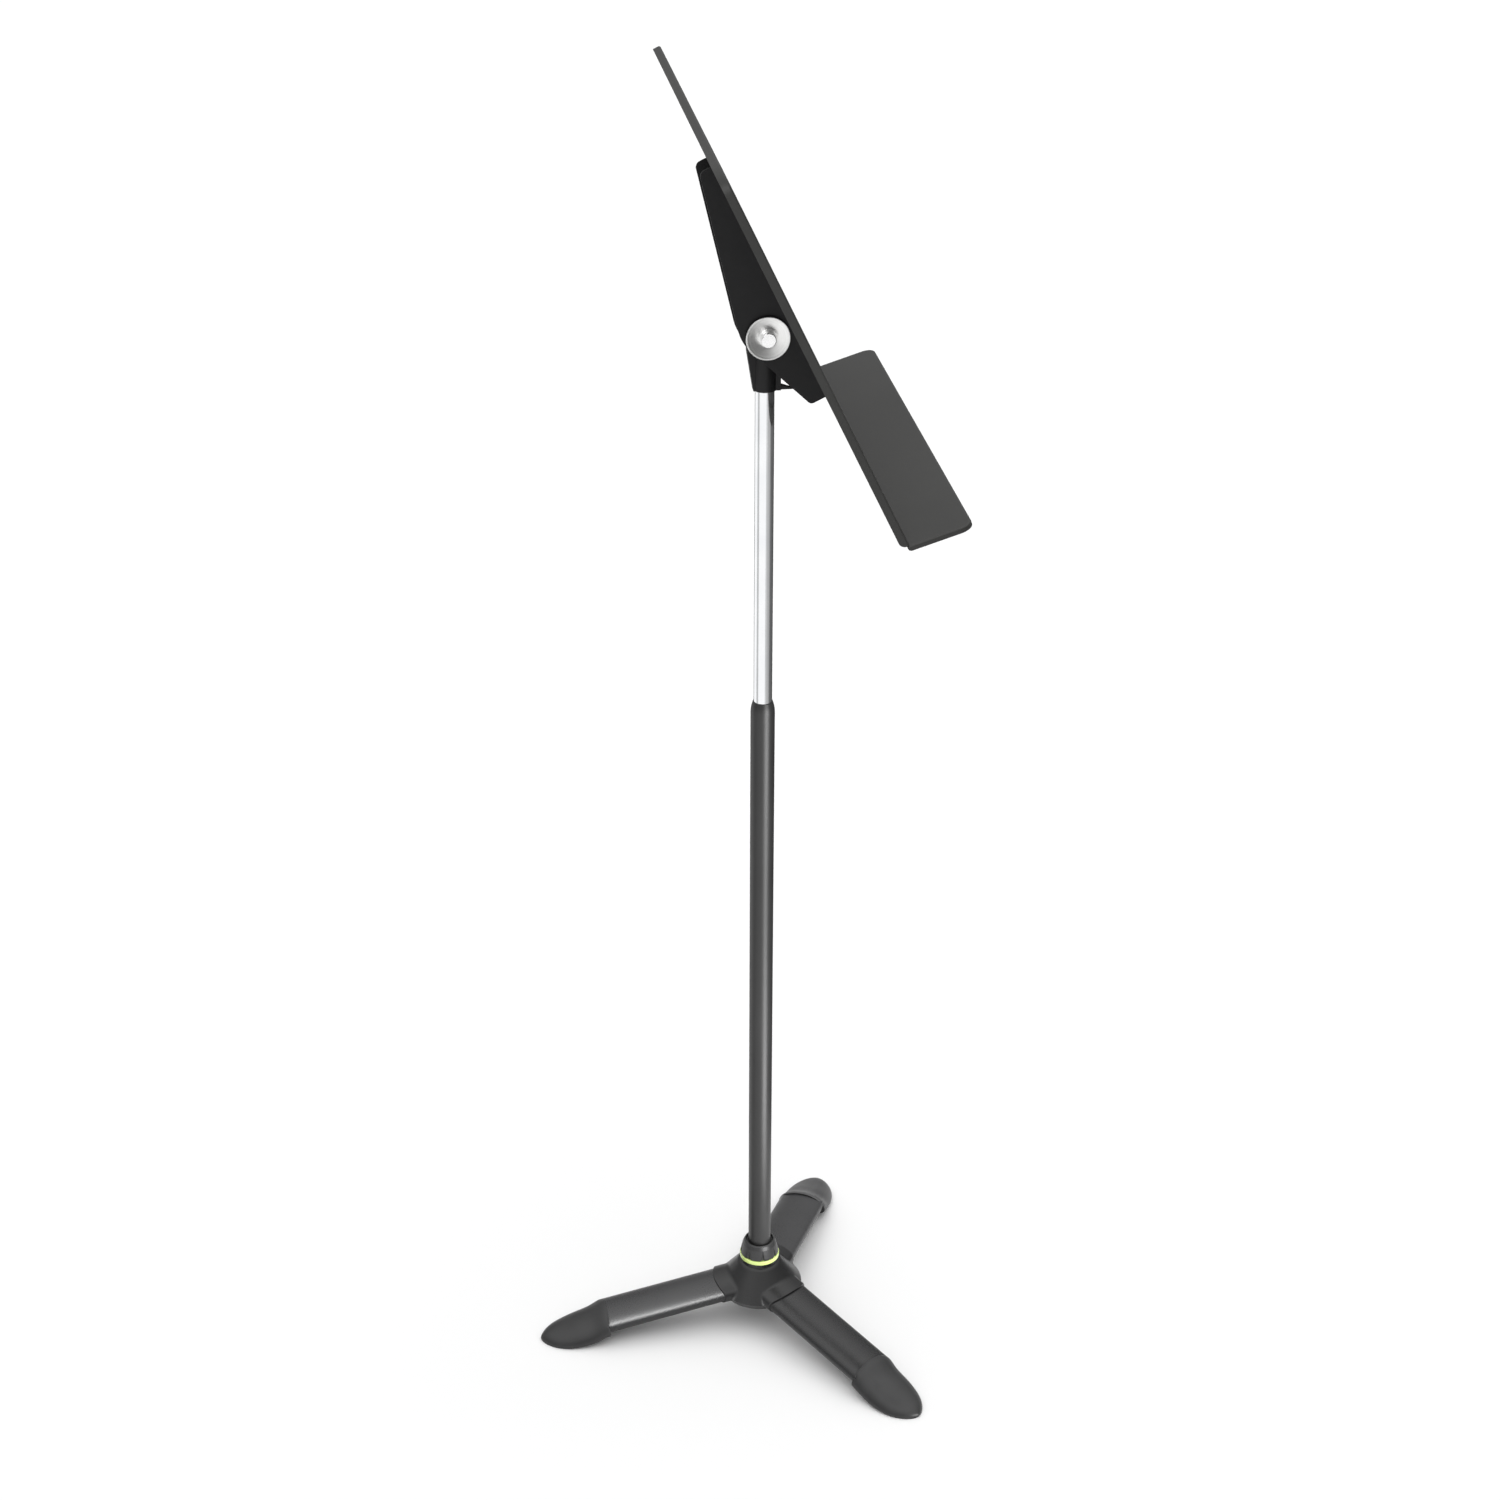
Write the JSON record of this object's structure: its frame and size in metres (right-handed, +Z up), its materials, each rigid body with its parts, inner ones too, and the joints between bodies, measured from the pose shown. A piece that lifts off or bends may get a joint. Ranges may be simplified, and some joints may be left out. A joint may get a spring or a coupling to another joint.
{
  "type": "music stand",
  "caption": "Orchestral music stand: tripod base, telescopic column with height clutch and swivel, tilting sheet-metal desk with music tray",
  "frame": {"origin": "on the floor, where the column's axis meets it", "axes": "+Z up; -Y towards the reader, whom the desk faces; +X along the desk's width to the reader's right"},
  "size_m": [0.5, 0.4059, 1.3864],
  "materials": {
    "base_hub": "satin black powder coat on a die-cast hub",
    "hub_cover": "black moulded plastic",
    "cover_screws": "zinc plated steel",
    "column_bolt": "zinc plated steel",
    "tube_plug": "turned steel",
    "outer_tube": "satin black powder coat on steel tube",
    "guide_bush": "natural nylon",
    "collar_ring": "lime green moulded ring",
    "base_collet": "black nylon",
    "leg_back": "satin black powder coat on flattened steel tube",
    "leg_front_left": "satin black powder coat on flattened steel tube",
    "leg_front_right": "satin black powder coat on flattened steel tube",
    "foot_back": "matte black rubber",
    "foot_front_left": "matte black rubber",
    "foot_front_right": "matte black rubber",
    "leg_screws": "zinc plated steel",
    "collar_washer": "turned steel",
    "collar_nut": "satin dark coat",
    "clutch_body": "natural nylon",
    "clutch_shoes": "turned bronze",
    "clutch_rings": "matte black rubber",
    "clutch_stem": "zinc plated steel",
    "stem_clip": "zinc plated steel",
    "inner_tube": "bright chrome plate",
    "swivel_plug": "turned bronze",
    "tilt_head": "satin black coat on a casting",
    "head_pin": "zinc plated steel",
    "pivot_bush": "turned bronze",
    "desk_panel": "satin black powder coat on folded sheet steel",
    "music_tray": "satin black powder coat on folded sheet steel",
    "tilt_bracket": "satin black powder coat on folded sheet steel",
    "bracket_rivets": "rivets coated with the desk",
    "tray_rivets": "rivets coated with the desk",
    "cup_washer_left": "polished stainless, faint spin marks",
    "cup_washer_right": "polished stainless, faint spin marks",
    "tilt_bolt": "bright zinc and nickel plate",
    "tilt_nut": "bright zinc and nickel plate",
    "spring_washer": "bright zinc and nickel plate",
    "friction_discs": "brown fibre"
  },
  "bodies": {
    "base": {"base_hub": "base_hub", "hub_cover": "hub_cover", "cover_screws": "cover_screws", "column_bolt": "column_bolt", "tube_plug": "tube_plug", "outer_tube": "outer_tube", "guide_bush": "guide_bush", "collar_ring": "collar_ring", "base_collet": "base_collet", "leg_back": "leg_back", "leg_front_left": "leg_front_left", "leg_front_right": "leg_front_right", "foot_back": "foot_back", "foot_front_left": "foot_front_left", "foot_front_right": "foot_front_right", "leg_screws": "leg_screws"},
    "collar_washer": {"collar_washer": "collar_washer"},
    "collar_nut": {"collar_nut": "collar_nut"},
    "clutch": {"clutch_body": "clutch_body", "clutch_shoes": "clutch_shoes", "clutch_rings": "clutch_rings", "clutch_stem": "clutch_stem", "stem_clip": "stem_clip"},
    "mast": {"inner_tube": "inner_tube", "swivel_plug": "swivel_plug", "tilt_head": "tilt_head", "head_pin": "head_pin", "pivot_bush": "pivot_bush"},
    "desk": {"desk_panel": "desk_panel", "music_tray": "music_tray", "tilt_bracket": "tilt_bracket", "bracket_rivets": "bracket_rivets", "tray_rivets": "tray_rivets", "cup_washer_left": "cup_washer_left", "cup_washer_right": "cup_washer_right", "tilt_bolt": "tilt_bolt", "tilt_nut": "tilt_nut", "spring_washer": "spring_washer", "friction_discs": "friction_discs"}
  },
  "joints": [
    {"name": "collar_climb", "type": "slide", "parent": "base", "child": "collar_washer", "axis": [0, 0, 1], "range_m": [0, 0.004]},
    {"name": "collar_turn", "type": "hinge", "parent": "collar_washer", "child": "collar_nut", "pos_m": [0, 0, 0.085], "axis": [0, 0, 1], "range_deg": [0, 720]},
    {"name": "height", "type": "slide", "parent": "base", "child": "clutch", "axis": [0, 0, 1], "range_m": [-0.33, 0.22]},
    {"name": "swivel", "type": "hinge", "parent": "clutch", "child": "mast", "pos_m": [0, 0, 0.45], "axis": [0, 0, 1], "continuous": true},
    {"name": "tilt", "type": "hinge", "parent": "mast", "child": "desk", "pos_m": [0, 0, 1.1645], "axis": [-1, 0, 0], "range_deg": [-26, 64]}
  ],
  "couplings": [
    {"joint": "collar_turn", "follows": "collar_climb", "rad_per_m": 3141.6}
  ]
}
